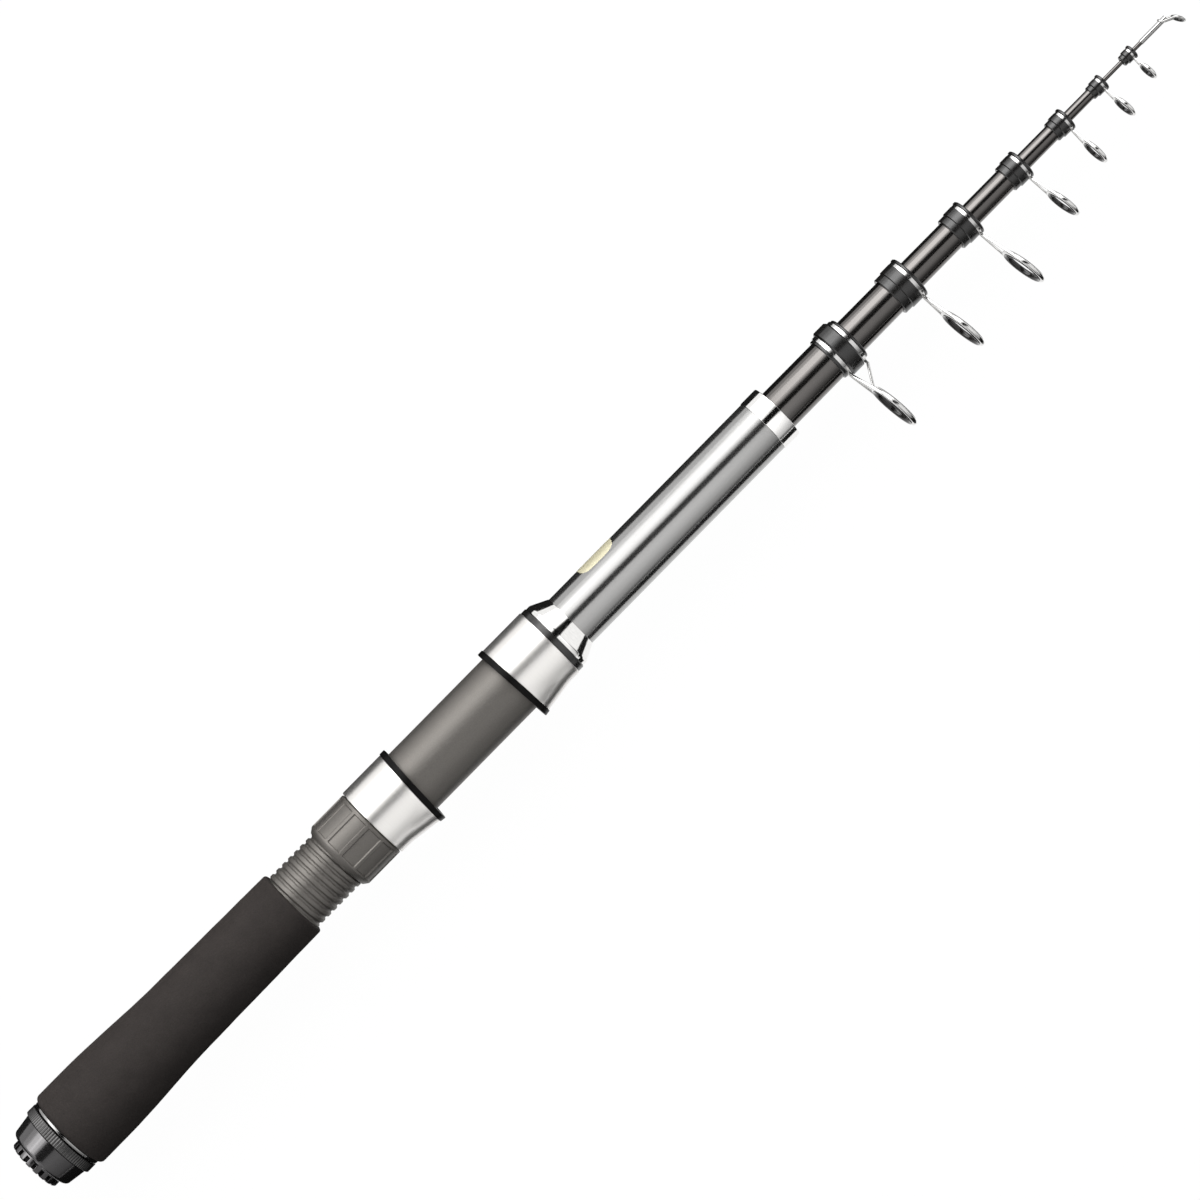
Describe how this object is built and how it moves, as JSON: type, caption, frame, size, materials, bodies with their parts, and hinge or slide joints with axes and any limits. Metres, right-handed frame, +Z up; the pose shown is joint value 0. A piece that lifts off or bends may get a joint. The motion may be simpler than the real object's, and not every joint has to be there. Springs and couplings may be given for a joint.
{
  "type": "telescopic fishing rod",
  "caption": "Telescopic spinning rod, partly drawn out: foam grip, screw-down reel seat, nested tapered sections, wire guides with hard rings, a floating guide and a bent tip ring.",
  "frame": {"origin": "on the rod's axis, at the flat end of the butt cap", "axes": "+X along the rod from butt to tip, -Y to the side of the line guides and reel foot, +Z up with the rod lying on its side"},
  "size_m": [0.4881, 0.0463, 0.0276],
  "materials": {
    "cap_gunmetal": "polished, dark anodised",
    "foam": "closed-cell foam, matt and porous",
    "bush_plastic": "moulded, hidden",
    "bright_trim": "polished",
    "blank_lacquer": "silver-grey metallic lacquer",
    "seat_graphite": "satin graphite-filled plastic",
    "hood_aluminium": "satin, clear anodised",
    "black_plastic": "gloss",
    "carbon_lacquer": "dark brown-grey gloss lacquer",
    "guide_steel": "polished stainless wire",
    "guide_ceramic": "polished hard ring"
  },
  "bodies": {
    "handle": {"butt_bush": "bush_plastic", "butt_trim_ring": "bright_trim", "grip": "foam", "butt_blank": "blank_lacquer", "reel_seat": "seat_graphite", "fixed_hood": "hood_aluminium", "fixed_hood_liner": "black_plastic", "seat_ring": "black_plastic", "winding_check": "bright_trim", "blank_ferrule": "bright_trim"},
    "cap_pad": {"butt_cap_pad": "foam"},
    "butt_cap": {"butt_cap": "cap_gunmetal"},
    "sliding_hood": {"sliding_hood": "hood_aluminium", "sliding_hood_liner": "black_plastic"},
    "lock_nut": {"lock_nut": "seat_graphite"},
    "section_1": {"section_1_tube": "carbon_lacquer", "section_1_sleeve": "black_plastic", "section_1_end_ring": "black_plastic", "section_1_guide_frame": "guide_steel", "section_1_guide_ring": "guide_ceramic"},
    "section_2": {"section_2_tube": "carbon_lacquer", "section_2_sleeve": "black_plastic", "section_2_end_ring": "black_plastic", "section_2_guide_frame": "guide_steel", "section_2_guide_ring": "guide_ceramic"},
    "section_3": {"section_3_tube": "carbon_lacquer", "section_3_sleeve": "black_plastic", "section_3_end_ring": "black_plastic", "section_3_guide_frame": "guide_steel", "section_3_guide_ring": "guide_ceramic"},
    "section_4": {"section_4_tube": "carbon_lacquer", "section_4_sleeve": "black_plastic", "section_4_end_ring": "black_plastic", "section_4_guide_frame": "guide_steel", "section_4_guide_ring": "guide_ceramic"},
    "section_5": {"section_5_tube": "carbon_lacquer", "section_5_sleeve": "black_plastic", "section_5_end_ring": "black_plastic", "section_5_guide_frame": "guide_steel", "section_5_guide_ring": "guide_ceramic"},
    "section_6": {"section_6_tube": "carbon_lacquer", "section_6_sleeve": "black_plastic", "section_6_end_ring": "black_plastic", "section_6_guide_frame": "guide_steel", "section_6_guide_ring": "guide_ceramic"},
    "tip": {"tip_rod": "carbon_lacquer", "tip_top_frame": "guide_steel", "tip_top_ring": "guide_ceramic"},
    "floating_guide": {"float_sleeve": "black_plastic", "float_end_ring": "black_plastic", "float_guide_frame": "guide_steel", "float_guide_ring": "guide_ceramic"}
  },
  "joints": [
    {"name": "cap_pad_slide", "type": "slide", "parent": "handle", "child": "cap_pad", "axis": [-1, 0, 0], "range_m": [0, 0.00905]},
    {"name": "cap_turn", "type": "hinge", "parent": "cap_pad", "child": "butt_cap", "pos_m": [0.0066, 0, 0], "axis": [-1, 0, 0], "range_deg": [0, 2160]},
    {"name": "hood_slide", "type": "slide", "parent": "handle", "child": "sliding_hood", "axis": [1, 0, 0], "range_m": [-0.0178, 0.00805]},
    {"name": "nut_turn", "type": "hinge", "parent": "sliding_hood", "child": "lock_nut", "pos_m": [0.12795, 0, 0], "axis": [1, 0, 0], "range_deg": [-2556, 1152]},
    {"name": "section_1_slide", "type": "slide", "parent": "handle", "child": "section_1", "axis": [1, 0, 0], "range_m": [-0.0207, 0.2297]},
    {"name": "section_2_slide", "type": "slide", "parent": "section_1", "child": "section_2", "axis": [1, 0, 0], "range_m": [-0.017, 0.244]},
    {"name": "section_3_slide", "type": "slide", "parent": "section_2", "child": "section_3", "axis": [1, 0, 0], "range_m": [-0.0165, 0.2528]},
    {"name": "section_4_slide", "type": "slide", "parent": "section_3", "child": "section_4", "axis": [1, 0, 0], "range_m": [-0.0151, 0.2632]},
    {"name": "section_5_slide", "type": "slide", "parent": "section_4", "child": "section_5", "axis": [1, 0, 0], "range_m": [-0.0123, 0.2733]},
    {"name": "section_6_slide", "type": "slide", "parent": "section_5", "child": "section_6", "axis": [1, 0, 0], "range_m": [-0.0095, 0.2827]},
    {"name": "tip_slide", "type": "slide", "parent": "section_6", "child": "tip", "axis": [1, 0, 0], "range_m": [-0.0074, 0.2875]},
    {"name": "floating_guide_slide", "type": "slide", "parent": "tip", "child": "floating_guide", "axis": [1, 0, 0], "range_m": [-0.11502, 0.00298]}
  ],
  "couplings": [
    {"joint": "cap_pad_slide", "follows": "cap_turn", "m_per_rad": 0.00023873},
    {"joint": "hood_slide", "follows": "nut_turn", "m_per_rad": 0.00039789},
    {"joint": "floating_guide_slide", "follows": "tip_slide", "ratio": -0.4}
  ]
}
